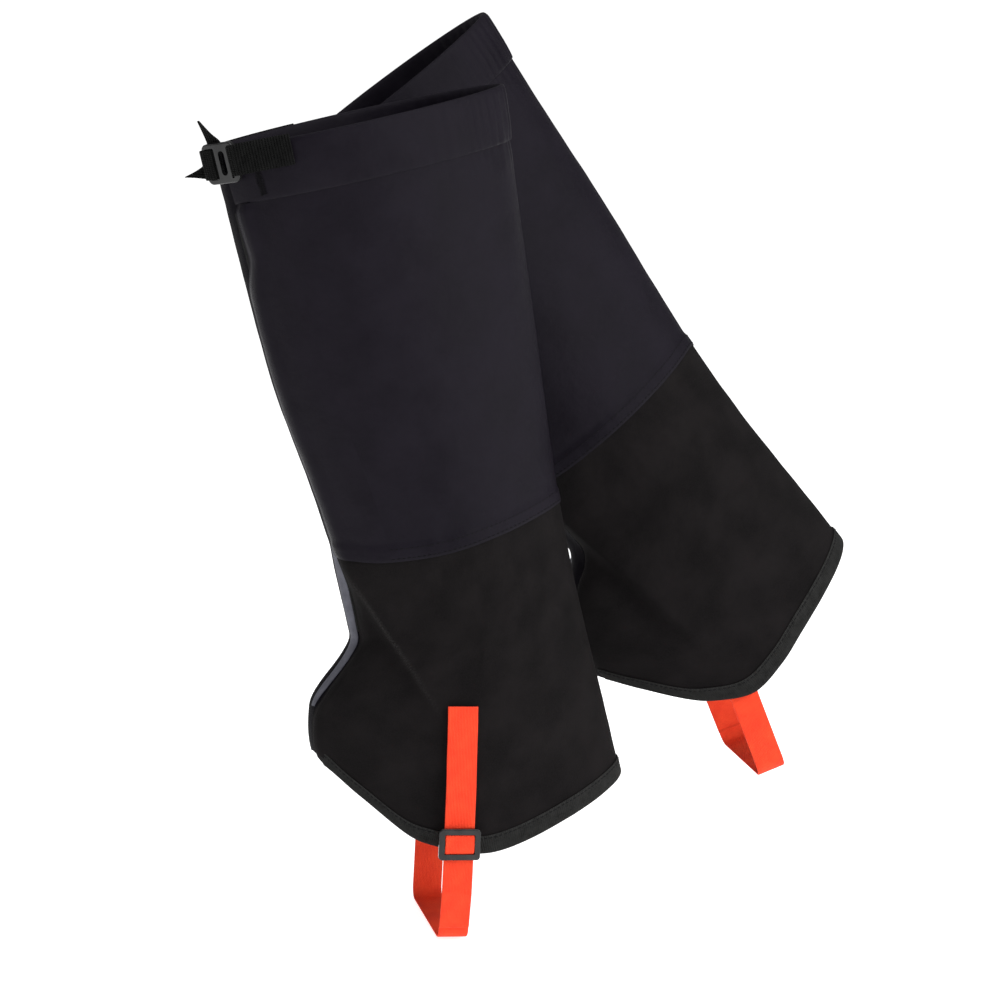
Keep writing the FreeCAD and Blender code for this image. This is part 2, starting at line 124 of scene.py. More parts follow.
STRAP_WIDTH = 18.0
WEBBING = 1.4
BUCKLE_ACROSS = -16.2
BUCKLE_HEIGHT = -6.5
BUCKLE_LIFT = 4.0
INSTEP_PLANE = 53.0
SLIDER_AT = 82.0
SLIDER_GAP = 0.35
SOLE_AT = 142.0
SOLE_HALF = 47.5
STRAP_BEND = 8.0
# a pulled strap rounds its bends a little tighter than the bend's full radius
BEND_PULL = 0.85
HOOK_ACROSS = -6.0


# ---- curves that everything is drawn from ----
def ease(t):
    """A smooth step from 0 to 1."""
    t = np.clip(t, 0.0, 1.0)
    return t * t * (3 - 2 * t)


def smooth_lookup(place, table, column):
    """A smooth curve through a table's rows that never overshoots them."""
    rows = np.array(table, float)
    knots, values = rows[:, 0], rows[:, column]
    steps = np.diff(knots)
    rises = np.diff(values) / steps
    product, total = rises[:-1] * rises[1:], rises[:-1] + rises[1:]
    total = np.where(np.abs(total) < 1e-9, 1.0, total)
    slopes = np.concatenate([rises[:1], np.where(product > 0, 2 * product / total, 0.0), rises[-1:]])
    row = np.clip(np.searchsorted(knots, place, side="right") - 1, 0, len(steps) - 1)
    step = steps[row]
    t = (place - knots[row]) / step
    start, stop = values[row], values[row + 1]
    ends = (2 * t**3 - 3 * t**2 + 1) * start + (3 * t**2 - 2 * t**3) * stop
    bends = (t**3 - 2 * t**2 + t) * slopes[row] + (t**3 - t**2) * slopes[row + 1]
    before = start + t * step * slopes[row]
    after = stop + (t - 1) * step * slopes[row + 1]
    return np.where(t < 0, before, np.where(t > 1, after, ends + bends * step))


def unit(vectors):
    return vectors / np.linalg.norm(vectors, axis=-1, keepdims=True)


def shell_point(angle, height):
    """Points inside the fabric: angle 0 is the back, 90 degrees the inner side, 180 the front."""
    angle, height = np.broadcast_arrays(np.asarray(angle, float), np.asarray(height, float))
    front, back, half, widest = (smooth_lookup(height, STATIONS, column) for column in (1, 2, 3, 4))
    c, s = np.cos(angle), np.sin(angle)
    power = np.where(c > 0, 2 / BACK_ROUNDNESS, 2 / FRONT_ROUNDNESS)
    reach = np.where(c > 0, back - widest, front + widest)
    x = widest + reach * np.sign(c) * np.abs(c) ** power
    y = half * np.sign(s) * np.abs(s) ** power
    return np.stack([x, y, height], axis=-1)


def shell_normal(angle, height):
    """The outward direction of the fabric."""
    turn, drop = 0.02, 1.0
    along = shell_point(angle + turn, height) - shell_point(angle - turn, height)
    upward = shell_point(angle, height + drop) - shell_point(angle, height - drop)
    return unit(np.cross(along, upward))


def front_angle(across, height):
    """The angle of the point that lies a given distance to the inner side of the front line."""
    half = smooth_lookup(np.asarray(height, float), STATIONS, 3)
    sine = np.minimum(1.0, (np.abs(across) / half) ** (FRONT_ROUNDNESS / 2))
    return math.pi - np.sign(across) * np.arcsin(sine)


def across_front(across):
    return lambda height: front_angle(across, height)


def across_outer(across):
    return lambda height: front_angle(across, height) - 2 * math.pi


def hem_of(side):
    """Height of the bottom hem at an angle round the leg."""
    line = side["hem_line"]

    def hem(angle):
        height = np.full(np.shape(angle), line[0][1])
        for _ in range(SETTLING_STEPS):
            height = smooth_lookup(shell_point(angle, height)[..., 0], line, 1)
        return height

    return hem


# distance behind the leg's axis, height of the ankle seam on the side that sags most
SEAM_LINES = {
    "left": dict(outer=((-80, -246), (-44, -255.5), (-12, -257.5), (27, -254.5), (62, -250)),
                 inner=((-80, -252), (62, -252))),
    "right": dict(outer=((-80, -252), (62, -250)), inner=((-80, -253), (-51, -252), (15, -247), (64, -243))),
}


def seam_of(side_name):
    """Height of the ankle seam at an angle round the leg."""
    lines = SEAM_LINES[side_name]

    def seam(angle):
        spots = shell_point(angle, SEAM_HEIGHT)
        behind, to_inner = spots[..., 0], ease(spots[..., 1] / 30 + 0.5)
        outer, inner = smooth_lookup(behind, lines["outer"], 1), smooth_lookup(behind, lines["inner"], 1)
        return outer * (1 - to_inner) + inner * to_inner
    return seam


# height, place across the front of the flap's free edge
FREE_EDGE = (
    (-376.0, -14.0), (-358.0, -7.0), (-345.0, -7.0), (-330.0, -11.5), (-264.0, -11.0), (-240.0, -6.0),
    (-150.0, -4.5), (-90.0, -5.0), (-64.0, -13.0), (-32.0, -15.0),
)


def free_edge(height):
    return front_angle(smooth_lookup(height, FREE_EDGE, 1), height) - 2 * math.pi


# ---- how the cloth lies: folds, creases and puckers, as a lift along the fabric's normal ----
def ripples(spots, wavelength, seed):
    """Gentle unevenness of about a given wavelength, between -1 and 1."""
    random = np.random.default_rng(seed)
    total = np.zeros(spots.shape[:-1])
    waves = 7
    for _ in range(waves):
        direction = unit(random.normal(size=3))
        length = wavelength * random.uniform(0.7, 1.5)
        total += np.sin(spots @ direction * 2 * math.pi / length + random.uniform(0, 2 * math.pi))
    return total / waves * 1.6


def crease(x, z, start, end, ridge, hollow, near=4.0, far=26.0):
    """A fold with a sharp ridge along a line on the side of the leg and a hollow in front of it."""
    start, end = np.array(start, float), np.array(end, float)
    length = np.linalg.norm(end - start)
    run = (end - start) / length
    along = ((x - start[0]) * run[0] + (z - start[1]) * run[1]) / length
    behind = (z - start[1]) * run[0] - (x - start[0]) * run[1]
    fade = ease(along / 0.16) * ease((1 - along) / 0.5)
    rounded = np.sqrt(behind**2 + 0.5) - 0.7
    crest = ridge * np.where(behind > 0, np.exp(-rounded / far), np.exp(-rounded / near))
    dip = hollow * (ease(-behind / 9) - ease((-behind - 12) / 14))
    return fade * (crest - dip), fade * np.exp(-((behind / 1.1) ** 2))


CREASES = {
    "left": dict(outer=[((-69, -249), (-30, -364), 3.0, 2.4, 3.0, 17.0)],
                 inner=[((-60, -262), (-30, -390), 1.6, 1.2, 4.0, 26.0)]),
    "right": dict(outer=[((-66, -256), (-34, -380), 1.8, 1.4, 4.0, 26.0)],
                  inner=[((-66, -260), (-37, -430), 2.8, 2.6, 5.0, 24.0)]),
}


# a crease that falls away within this many millimetres is sharp enough to get a painted highlight along its
# crest
SHARP_CREASE = 3.5


def creases_at(side_name, x, y, z):
    """Lift of the creases, and how close a place is to a sharp crease's ridge, from 0 to 1, which marks where
    a highlight is painted on its crest.
    """
    lift, crest_highlight_line = np.zeros(x.shape), np.zeros(x.shape)
    for sign, name in ((-1, "outer"), (1, "inner")):
        on_side = ease(sign * y / 14)
        for marks in CREASES[side_name][name]:
            raised, line = crease(x, z, *marks)
            lift = lift + on_side * raised
            # sharp crease crests are marked for a painted highlight
            if marks[4] < SHARP_CREASE:
                crest_highlight_line = np.maximum(crest_highlight_line, on_side * line)
    return lift, crest_highlight_line


def relief(side_name, angle, height):
    """How far the cloth stands off the frame's smooth surface."""
    spots = shell_point(angle, height)
    x, y, z = spots[..., 0], spots[..., 1], spots[..., 2]
    seed = 3 if side_name == "left" else 8
    lift = 0.5 * ripples(spots * (1, 1, 0.35), 55, seed) + 0.16 * ripples(spots, 21, seed + 1)
    lift = lift + creases_at(side_name, x, y, z)[0]
    turn = (angle + math.pi) % (2 * math.pi) - math.pi
    at_back = ease((1.25 - np.abs(turn)) / 0.5)
    gathers = np.sin(turn * 62 + 1.3 * np.sin(turn * 9)) * (0.75 + 0.25 * np.sin(turn * 23))
    lift = lift + at_back * 0.45 * gathers * ease((z + 62) / 44) * ease(-z / 4 + 0.25)
    for row in (-HEM_HEIGHT + 1, seam_of(side_name)(angle) + SEAM_LAP - 1):
        near_row = np.exp(-(((z - row) / 5.5) ** 2))
        lift = lift + near_row * (0.2 * ripples(spots * (1, 1, 0.2), 7.5, seed + 4) - 0.3)
    return lift * ease((95 + x) / 30 + 0.35)


def lifted(side_name, angle, height, lift):
    """Points a given distance outside the fabric's inner face, as the cloth lies."""
    raised = np.asarray(lift, float) + relief(side_name, angle, height)
    return shell_point(angle, height) + shell_normal(angle, height) * raised[..., None]


# ---- meshes ----
def place(side_name, points):
    """Takes points from a gaiter's own millimetre frame to the row frame."""
    mount = next(m for m in frame["record"]["mounts"] if m["name"] == side_name + "_leg")
    up = np.array(mount["axis"], float)
    back = np.array([up[2], 0.0, -up[0]])
    inner = np.array([0.0, -1.0 if SIDES[side_name]["mirrored"] else 1.0, 0.0])
    axes = np.stack([back, inner, up])
    return np.array(mount["pos_m"]) + np.asarray(points, float) @ axes * MM


def make(name, side_name, points, faces, weave=None, edge=None, sharp=50):
    """A mesh object from points in a gaiter's frame, with the threads' coordinates and a pale mark for edge
    wear and for painted highlights on crease crests.
    """
    placed = place(side_name, points)
    faces = np.asarray(faces)
    corners = placed - placed.mean(axis=0)
    a, b, c = (corners[faces[:, i]] for i in range(3))
    signed = (a * np.cross(b, c)).sum()
    if faces.shape[1] == 4:
        d = corners[faces[:, 3]]
        signed += (a * np.cross(c, d)).sum()
    if signed < 0:
        faces = faces[:, ::-1]
    mesh = bpy.data.meshes.new(name)
    mesh.from_pydata(placed.tolist(), [], faces.tolist())
    mesh.validate()
    if weave is not None:
        mesh.attributes.new("weave", "FLOAT_VECTOR", "POINT").data.foreach_set(
            "vector", np.asarray(weave, np.float32).ravel())
    # pale mark for edge wear and painted crease highlights
    wear_and_highlight_mask = np.zeros(len(placed)) if edge is None else edge
    mesh.attributes.new("edge_wear_and_crease_highlight", "FLOAT", "POINT").data.foreach_set(
        "value", np.asarray(wear_and_highlight_mask, np.float32).ravel())
    mesh.shade_smooth()
    mesh.set_sharp_from_angle(angle=math.radians(sharp))
    piece = bpy.data.objects.new(name, mesh)
    bpy.context.scene.collection.objects.link(piece)
    return piece


def slab_faces(columns, rows):
    """Faces of a closed slab: an outer grid, an inner grid and the rim between them."""
    index = np.arange(columns * rows).reshape(columns, rows)
    a, b, c, d = index[:-1, :-1], index[1:, :-1], index[1:, 1:], index[:-1, 1:]
    outer = np.stack([a, b, c, d], axis=-1).reshape(-1, 4)
    inner = outer[:, ::-1] + columns * rows
    faces = [outer, inner]
    for line in (index[0, ::-1], index[-1, :], index[:, 0], index[::-1, -1]):
        low, high = line[:-1], line[1:]
        faces.append(np.stack([high, low, low + columns * rows, high + columns * rows], axis=-1))
    return np.concatenate(faces)


def slab(name, side_name, outer, inner, joined=(), crease_highlights=None, sharp=50):
    """A cloth piece between two grids of points in a gaiter's frame. joined names the edges that run on into
    another piece, and the crease marks give crease crests, where a pale highlight is painted."""
    columns, rows = outer.shape[:2]
    middle = outer[:, rows // 2]
    steps = np.linalg.norm(np.diff(middle, axis=0), axis=1)
    across = np.concatenate([[0.0], np.cumsum(steps)])[:, None]
    drops = np.linalg.norm(np.diff(outer, axis=1), axis=2)
    down = np.concatenate([np.zeros((columns, 1)), np.cumsum(drops, axis=1)], axis=1)
    weave = np.stack([np.broadcast_to(across, (columns, rows)), down, np.zeros((columns, rows))], axis=-1)
    gaps = {"top": down, "bottom": down[:, -1:] - down, "first": across + 0 * down,
            "last": across[-1] - across + 0 * down}
    from_edge = np.min([gap for edge, gap in gaps.items() if edge not in joined], axis=0)
    wear_and_highlight_mask = np.exp(-from_edge / 1.2)
    # crease crests get a painted highlight, mixed into the same pale mark as worn edges
    if crease_highlights is not None:
        wear_and_highlight_mask = np.maximum(wear_and_highlight_mask, crease_highlights)
    points = np.concatenate([outer.reshape(-1, 3), inner.reshape(-1, 3)])
    both = lambda grid: np.concatenate([grid.reshape(columns * rows, -1)] * 2)
    return make(name, side_name, points, slab_faces(columns, rows), both(weave), both(wear_and_highlight_mask), sharp)


def grid_on(edges, top, bottom, columns, rows):
    """Angles and heights of a grid between two side edges and two levels."""
    u = np.linspace(0, 1, columns)[:, None]
    v = np.linspace(0, 1, rows)[None, :]
    height = np.full((columns, rows), -200.0)
    for _ in range(SETTLING_STEPS):
        angle = edges[0](height) * (1 - u) + edges[1](height) * u
        height = top(angle) * (1 - v) + bottom(angle) * v
    return angle, height


def level(value):
    return lambda angle: np.full(np.shape(angle), float(value))


def layer(name, side_name, edges, top, bottom, low, high, columns, rows, joined=()):
    """A cloth layer. low and high give its lifts at a fraction across, an angle and a height."""
    angle, height = grid_on(edges, top, bottom, columns, rows)
    u = np.broadcast_to(np.linspace(0, 1, columns)[:, None], angle.shape)
    inner = lifted(side_name, angle, height, low(u, angle, height))
    outer = lifted(side_name, angle, height, high(u, angle, height))
    # crests of sharp creases, where a pale highlight is painted
    crease_highlights = 0.75 * creases_at(side_name, *np.moveaxis(shell_point(angle, height), -1, 0))[1]
    return slab(name, side_name, outer, inner, joined, crease_highlights)


def flat_lift(value):
    return lambda u, angle, height: np.full(np.shape(height), float(value))


def folded_band(name, side_name, edges, level_at, profile, thickness, columns):
    """A band folded over an edge. profile lists (lift, rise above the edge) down its middle."""
    line = np.array(profile, float)
    runs = unit(np.gradient(line, axis=0))
    normals = np.stack([runs[:, 1], -runs[:, 0]], axis=1)
    u = np.linspace(0, 1, columns)[:, None]
    grids = []
    for sign in (1, -1):
        rim = line + normals * sign * thickness / 2
        angle = np.zeros((columns, 1))
        for _ in range(SETTLING_STEPS):
            edge_height = level_at(angle)
            angle = edges[0](edge_height) * (1 - u) + edges[1](edge_height) * u
        height = edge_height + rim[None, :, 1]
        angle = edges[0](height) * (1 - u) + edges[1](height) * u
        grids.append(lifted(side_name, angle, height, np.broadcast_to(rim[None, :, 0], height.shape)))
    return slab(name, side_name, grids[0], grids[1])


def polyline(points, steps):
    """A smooth curve through a few points."""
    points = np.array(points, float)
    ends = np.concatenate([[2 * points[0] - points[1]], points, [2 * points[-1] - points[-2]]])
    curve = []
    for i in range(1, len(ends) - 2):
        p0, p1, p2, p3 = ends[i - 1 : i + 3]
        for t in np.linspace(0, 1, steps, endpoint=False):
            curve.append(0.5 * ((2 * p1) + (p2 - p0) * t + (2 * p0 - 5 * p1 + 4 * p2 - p3) * t**2
                                + (3 * p1 - p0 - 3 * p2 + p3) * t**3))
    curve.append(points[-1])
    return np.array(curve)


WEBBING_SECTION = (
    (-0.5, -0.22), (-0.5, 0.22), (-0.485, 0.42), (-0.46, 0.5), (-0.4, 0.5), (-0.3, 0.5), (-0.2, 0.5),
    (-0.1, 0.5), (0.0, 0.5), (0.1, 0.5), (0.2, 0.5), (0.3, 0.5), (0.4, 0.5), (0.46, 0.5), (0.485, 0.42),
    (0.5, 0.22), (0.5, -0.22), (0.485, -0.42), (0.46, -0.5), (0.2, -0.5), (-0.2, -0.5), (-0.46, -0.5),
    (-0.485, -0.42),
)


def webbing(name, side_name, centre, across, width=STRAP_WIDTH, thickness=WEBBING, rib=0.0, pitch=1.7):
    """Flat woven webbing along a line of points, with cross ribs."""
    centre = np.asarray(centre, float)
    lengths = np.concatenate([[0.0], np.cumsum(np.linalg.norm(np.diff(centre, axis=0), axis=1))])
    count = max(8, int(lengths[-1] / (pitch / 6 if rib else 1.2)))
    at = np.linspace(0, lengths[-1], count)
    line = np.stack([np.interp(at, lengths, centre[:, k]) for k in range(3)], axis=1)
    across = np.broadcast_to(np.asarray(across, float), centre.shape)
    sideways = unit(np.stack([np.interp(at, lengths, across[:, k]) for k in range(3)], axis=1))
    runs = unit(np.gradient(line, axis=0))
    out = unit(np.cross(runs, sideways))
    section = np.array(WEBBING_SECTION)
    ribs = 1 + rib / thickness * np.sin(at * 2 * math.pi / pitch)[:, None]
    points = (line[:, None] + sideways[:, None] * section[None, :, :1] * width
              + out[:, None] * (section[None, :, 1] * ribs)[..., None] * thickness)
    around = len(section)
    index = np.arange(count * around).reshape(count, around)
    a, b = index[:-1], index[1:]
    quads = np.stack([a, b, np.roll(b, -1, axis=1), np.roll(a, -1, axis=1)], axis=-1).reshape(-1, 4)
    weave = np.stack([np.broadcast_to(section[None, :, 0] * width, (count, around)),
                      np.broadcast_to(at[:, None], (count, around)), np.zeros((count, around))], axis=-1)
    ends = np.minimum(at, at[-1] - at)
    wear_and_highlight_mask = np.exp(-ends / 0.8)[:, None] + 0.6 * np.exp(-(0.5 - np.abs(section[None, :, 0])) * width / 0.7)
    caps = []
    for row, order in ((index[0], 1), (index[-1], -1)):
        half = around // 2
        for k in range(half):
            face = [row[k], row[k + 1], row[(around - 1 - k) % around], row[(around - k) % around]][::order]
            if len(set(face)) == 4:
                caps.append(face)
    faces = np.concatenate([quads, np.array(caps)])
    return make(name, side_name, points.reshape(-1, 3), faces, weave.reshape(-1, 3),
                np.minimum(wear_and_highlight_mask, 1).ravel(), 60)


def stitches(name, side_name, rows, length=2.3, gap=3.1, radius=0.3):
    """Rows of single stitches. A row is a line of points and the outward direction at each."""
    rings = ((-0.5, 0.25), (-0.3, 0.9), (0.0, 1.0), (0.3, 0.9), (0.5, 0.25))
    sides = 6
    turns = np.arange(sides) * 2 * math.pi / sides
    all_points, all_faces = [], []
    base = 0
    for line, outward in rows:
        lengths = np.concatenate([[0.0], np.cumsum(np.linalg.norm(np.diff(line, axis=0), axis=1))])
        spots = np.arange(gap / 2, lengths[-1], gap)
        at = np.stack([np.interp(spots, lengths, line[:, k]) for k in range(3)], axis=1)
        ahead = np.stack([np.interp(spots + 0.6, lengths, line[:, k]) for k in range(3)], axis=1)
        behind = np.stack([np.interp(spots - 0.6, lengths, line[:, k]) for k in range(3)], axis=1)
        out = unit(np.stack([np.interp(spots, lengths, outward[:, k]) for k in range(3)], axis=1))
        run = unit(ahead - behind)
        aside = np.cross(run, out)
        shape = []
        for place_along, size in rings:
            for turn in turns:
                shape.append((place_along * length, math.cos(turn) * radius * size,
                              math.sin(turn) * radius * size))
        shape = np.array(shape)
        bend = -0.35 * (2 * shape[:, 0] / length) ** 2
        points = (at[:, None] + run[:, None] * shape[None, :, :1] + aside[:, None] * shape[None, :, 1:2]
                  + out[:, None] * (shape[:, 2] + bend * radius)[None, :, None])
        count = len(rings) * sides
        index = np.arange(len(spots) * count).reshape(len(spots), len(rings), sides) + base
        a, b = index[:, :-1], index[:, 1:]
        quads = np.stack([a, b, np.roll(b, -1, axis=2), np.roll(a, -1, axis=2)], axis=-1).reshape(-1, 4)
        all_faces.append(quads)
        for cap in (index[:, 0], index[:, -1][:, ::-1]):
            all_faces.append(cap[:, [0, 1, 2, 3]])
            all_faces.append(cap[:, [3, 4, 5, 0]])
        all_points.append(points.reshape(-1, 3))
        base += len(spots) * count
    return make(name, side_name, np.concatenate(all_points), np.concatenate(all_faces))


def row_on(side_name, edges, level_at, rise, lift, count=220):
    """A line on the cloth at a distance above a level, with the outward direction at each point."""
    u = np.linspace(0, 1, count)
    angle = np.zeros(count)
    for _ in range(SETTLING_STEPS):
        height = level_at(angle) + rise
        angle = edges[0](height) * (1 - u) + edges[1](height) * u
    lifts = np.full(count, float(lift))
    return lifted(side_name, angle, height, lifts), shell_normal(angle, height)


# ---- materials ----
def nodes_of(name):
    material = bpy.data.materials.new(name)
    material.use_nodes = True
    tree = material.node_tree
    shader = tree.nodes["Principled BSDF"]
    return material, tree, shader


def add(tree, kind, **values):
    node = tree.nodes.new(kind)
    for key, value in values.items():
        if key in node.inputs:
            node.inputs[key].default_value = value
        else:
            setattr(node, key, value)
    return node


def mix_colours(tree, factor, one, two):
    node = add(tree, "ShaderNodeMix", data_type="RGBA")
    for socket, colour in ((6, one), (7, two)):
        if isinstance(colour, tuple):
            node.inputs[socket].default_value = (*colour, 1)
        else:
            tree.links.new(colour, node.inputs[socket])
    tree.links.new(factor, node.inputs[0])
    return node.outputs[2]


def noise(tree, vector, scale, detail=3.0, low=0.35, high=0.65):
    texture = add(tree, "ShaderNodeTexNoise", Scale=scale, Detail=detail)
    tree.links.new(vector, texture.inputs["Vector"])
    spread = add(tree, "ShaderNodeMapRange")
    spread.inputs["From Min"].default_value = low
    spread.inputs["From Max"].default_value = high
    tree.links.new(texture.outputs["Fac"], spread.inputs["Value"])
    return spread.outputs["Result"]


def math_node(tree, operation, one, two=None):
    node = add(tree, "ShaderNodeMath", operation=operation)
    for socket, value in ((0, one), (1, two)):
        if value is None:
            continue
        if isinstance(value, (int, float)):
            node.inputs[socket].default_value = value
        else:
            tree.links.new(value, node.inputs[socket])
    return node.outputs[0]


def thread_pattern(tree, pitch_across, pitch_down, kind):
    """Height of a woven surface, from the threads' own coordinates in millimetres."""
    threads = add(tree, "ShaderNodeAttribute", attribute_name="weave")
    split = add(tree, "ShaderNodeSeparateXYZ")
    tree.links.new(threads.outputs["Vector"], split.inputs[0])
    across, down = split.outputs[0], split.outputs[1]
    if kind == "twill":
        down = math_node(tree, "ADD", down, math_node(tree, "MULTIPLY", across, 0.6))
    wave = lambda value, pitch: math_node(
        tree, "SINE", math_node(tree, "MULTIPLY", value, 2 * math.pi / pitch))
    one, two = wave(across, pitch_across), wave(down, pitch_down)
    if kind == "plain":
        return math_node(tree, "MULTIPLY", one, two), threads.outputs["Vector"]
    return math_node(tree, "ADD", one, two), threads.outputs["Vector"]


def cloth(name, dark, light, roughness, pitches, kind="plain", bump=0.2, sheen=0.0, specular=0.3,
          mottle=0.05, wear_and_highlight_colour=(0.09, 0.09, 0.095), grain=0.3):
    """A woven cloth: threads, mottling, mid-scale grain, and a pale colour for worn edges and for painted
    highlights on crease crests.
    """
    material, tree, shader = nodes_of(name)
    height, vector = thread_pattern(tree, *pitches, kind)
    patches = noise(tree, vector, mottle)
    speckle = noise(tree, vector, 1.1, detail=2.0, low=0.3, high=0.7)
    base = mix_colours(tree, patches, dark, light)
    shade = math_node(tree, "MULTIPLY", speckle, grain)
    base = mix_colours(tree, shade, base, light)
    # pale mark: wear along edges, painted highlight along crease crests
    wear_and_highlight_mask = add(tree, "ShaderNodeAttribute", attribute_name="edge_wear_and_crease_highlight")
    amount = math_node(tree, "MULTIPLY", wear_and_highlight_mask.outputs["Fac"], math_node(tree, "MULTIPLY", speckle, 0.55))
    tree.links.new(mix_colours(tree, amount, base, wear_and_highlight_colour), shader.inputs["Base Color"])
    span = add(tree, "ShaderNodeMapRange")
    span.inputs["To Min"].default_value = roughness - 0.06
    span.inputs["To Max"].default_value = roughness + 0.06
    tree.links.new(patches, span.inputs["Value"])
    tree.links.new(span.outputs["Result"], shader.inputs["Roughness"])
    shader.inputs["Specular IOR Level"].default_value = specular
    shader.inputs["Sheen Weight"].default_value = sheen
    shader.inputs["Sheen Roughness"].default_value = 0.45
    fine = add(tree, "ShaderNodeBump", Strength=bump, Distance=0.00025)
    tree.links.new(height, fine.inputs["Height"])
    crumple = add(tree, "ShaderNodeBump", Strength=0.35, Distance=0.0006)
    tree.links.new(noise(tree, vector, 0.16, detail=4.0, low=0.2, high=0.8), crumple.inputs["Height"])
    tree.links.new(fine.outputs["Normal"], crumple.inputs["Normal"])
    tree.links.new(crumple.outputs["Normal"], shader.inputs["Normal"])
    return material


def hard(name, colour, roughness, metallic=0.0, specular=0.5, coat=0.0):
    """Moulded plastic or metal with fine scuffs."""
    material, tree, shader = nodes_of(name)
    place_node = add(tree, "ShaderNodeTexCoord")
    vector = place_node.outputs["Object"]
    scuffs = noise(tree, vector, 900.0, detail=5.0)
    smears = noise(tree, vector, 120.0)
    lighter = tuple(min(1.0, c * 1.5 + 0.01) for c in colour)
    tree.links.new(mix_colours(tree, smears, colour, lighter), shader.inputs["Base Color"])
    span = add(tree, "ShaderNodeMapRange")
    span.inputs["To Min"].default_value = roughness
    span.inputs["To Max"].default_value = roughness + 0.14
    tree.links.new(scuffs, span.inputs["Value"])
    tree.links.new(span.outputs["Result"], shader.inputs["Roughness"])
    shader.inputs["Metallic"].default_value = metallic
    shader.inputs["Specular IOR Level"].default_value = specular
    shader.inputs["Coat Weight"].default_value = coat
    bump = add(tree, "ShaderNodeBump", Strength=0.12, Distance=0.0001)
    tree.links.new(scuffs, bump.inputs["Height"])
    tree.links.new(bump.outputs["Normal"], shader.inputs["Normal"])
    return material


MATERIALS = {
    "satin_cloth": cloth("satin_cloth", (0.0040, 0.0028, 0.0058), (0.0070, 0.0054, 0.0094), 0.48,
                         (0.42, 0.42), bump=0.25, specular=0.08, mottle=0.03, wear_and_highlight_colour=(0.013, 0.012, 0.015)),
    # a darker, duller copy of the satin: painted shade of the recess under the flap
    "underlap_satin_painted_shade": cloth("underlap_satin_painted_shade", (0.0016, 0.0011, 0.0024), (0.0030, 0.0022, 0.0042), 0.6,
                            (0.42, 0.42), bump=0.25, specular=0.03, mottle=0.03, wear_and_highlight_colour=(0.004, 0.004, 0.005)),
    "heavy_cloth": cloth("heavy_cloth", (0.0046, 0.0041, 0.0043), (0.0104, 0.0091, 0.0094), 0.78, (0.95, 0.8),
                         bump=0.6, specular=0.045, mottle=0.04, grain=0.55, wear_and_highlight_colour=(0.06, 0.058, 0.057)),
    "binding": cloth("binding", (0.0060, 0.0060, 0.0058), (0.020, 0.020, 0.0195), 0.72, (1.3, 0.8),
                     kind="twill", bump=0.6, specular=0.06, mottle=0.2, grain=0.9,
                     wear_and_highlight_colour=(0.045, 0.045, 0.044)),
    # pale copy of the underlap's cloth: painted highlight of its sheen at the ankle
    "painted_sheen_strip": cloth("painted_sheen_strip", (0.060, 0.060, 0.076), (0.115, 0.115, 0.14), 0.6, (0.6, 0.6), bump=0.3,
                    specular=0.15, mottle=0.12, wear_and_highlight_colour=(0.02, 0.02, 0.03), grain=0.5),
    "seam_tape": cloth("seam_tape", (0.02, 0.02, 0.024), (0.035, 0.035, 0.04), 0.4, (0.5, 0.5), bump=0.15,
                       specular=0.25),
    "elastic": cloth("elastic", (0.006, 0.006, 0.006), (0.02, 0.02, 0.02), 0.75, (1.0, 1.6), kind="rib",
                     bump=0.7, specular=0.15),
    "hook_and_loop": cloth("hook_and_loop", (0.003, 0.003, 0.003), (0.010, 0.010, 0.010), 0.9, (0.9, 0.9),
                           bump=0.8, sheen=0.05, specular=0.08, grain=0.8, wear_and_highlight_colour=(0.02, 0.02, 0.02)),
    "black_webbing": cloth("black_webbing", (0.0012, 0.0012, 0.0012), (0.0056, 0.0057, 0.0055), 0.6,
                           (1.1, 1.7), kind="rib", bump=0.9, specular=0.06, mottle=0.2, grain=0.6,
                           wear_and_highlight_colour=(0.012, 0.012, 0.012)),
    "orange_webbing": cloth("orange_webbing", (0.80, 0.038, 0.011), (0.90, 0.064, 0.020), 0.66, (0.9, 0.9),
                            kind="twill", bump=0.5, specular=0.18, mottle=0.08, wear_and_highlight_colour=(0.62, 0.05, 0.02),
                            grain=0.4),
    "buckle_plastic": hard("buckle_plastic", (0.0025, 0.0025, 0.0028), 0.12, specular=0.3, coat=0.08),
    "metal": hard("metal", (0.22, 0.22, 0.23), 0.34, metallic=1.0),
    "thread": cloth("thread", (0.0015, 0.0013, 0.0018), (0.006, 0.0055, 0.007), 0.6, (0.5, 0.5), kind="twill",
                    bump=0.3, specular=0.08, wear_and_highlight_colour=(0.01, 0.01, 0.01)),
}


def dress(piece, slot_name):
    """Gives a piece a material, and the slot of the record that it belongs to."""
    piece.data.materials.clear()
    piece.data.materials.append(MATERIALS[slot_name])
    return piece


# ---- one gaiter's cloth ----
AROUND = (across_outer(HINGE_LINE), across_front(INNER_EDGE))
FLAP_EDGES = (across_outer(HINGE_LINE), free_edge)
BAND_EDGES = (across_outer(FLAP_EDGE), across_front(INNER_EDGE))


def flap_shape(u, height):
    """Lift of the flap: its free edge turns in behind a soft ridge, and gapes below the buckle."""
    from_edge = (1 - u) * 30.0
    turned = -1.7 * ease((6.0 - from_edge) / 6.0) + 1.3 * np.exp(-(((from_edge - 9.5) / 3.8) ** 2))
    gape = 3.4 * ease((u - 0.35) / 0.6) * ease((height + 70) / 30) * ease((-30 - height) / 7)
    return turned * ease(u / 0.35) * ease((height + 376) / 14) + gape


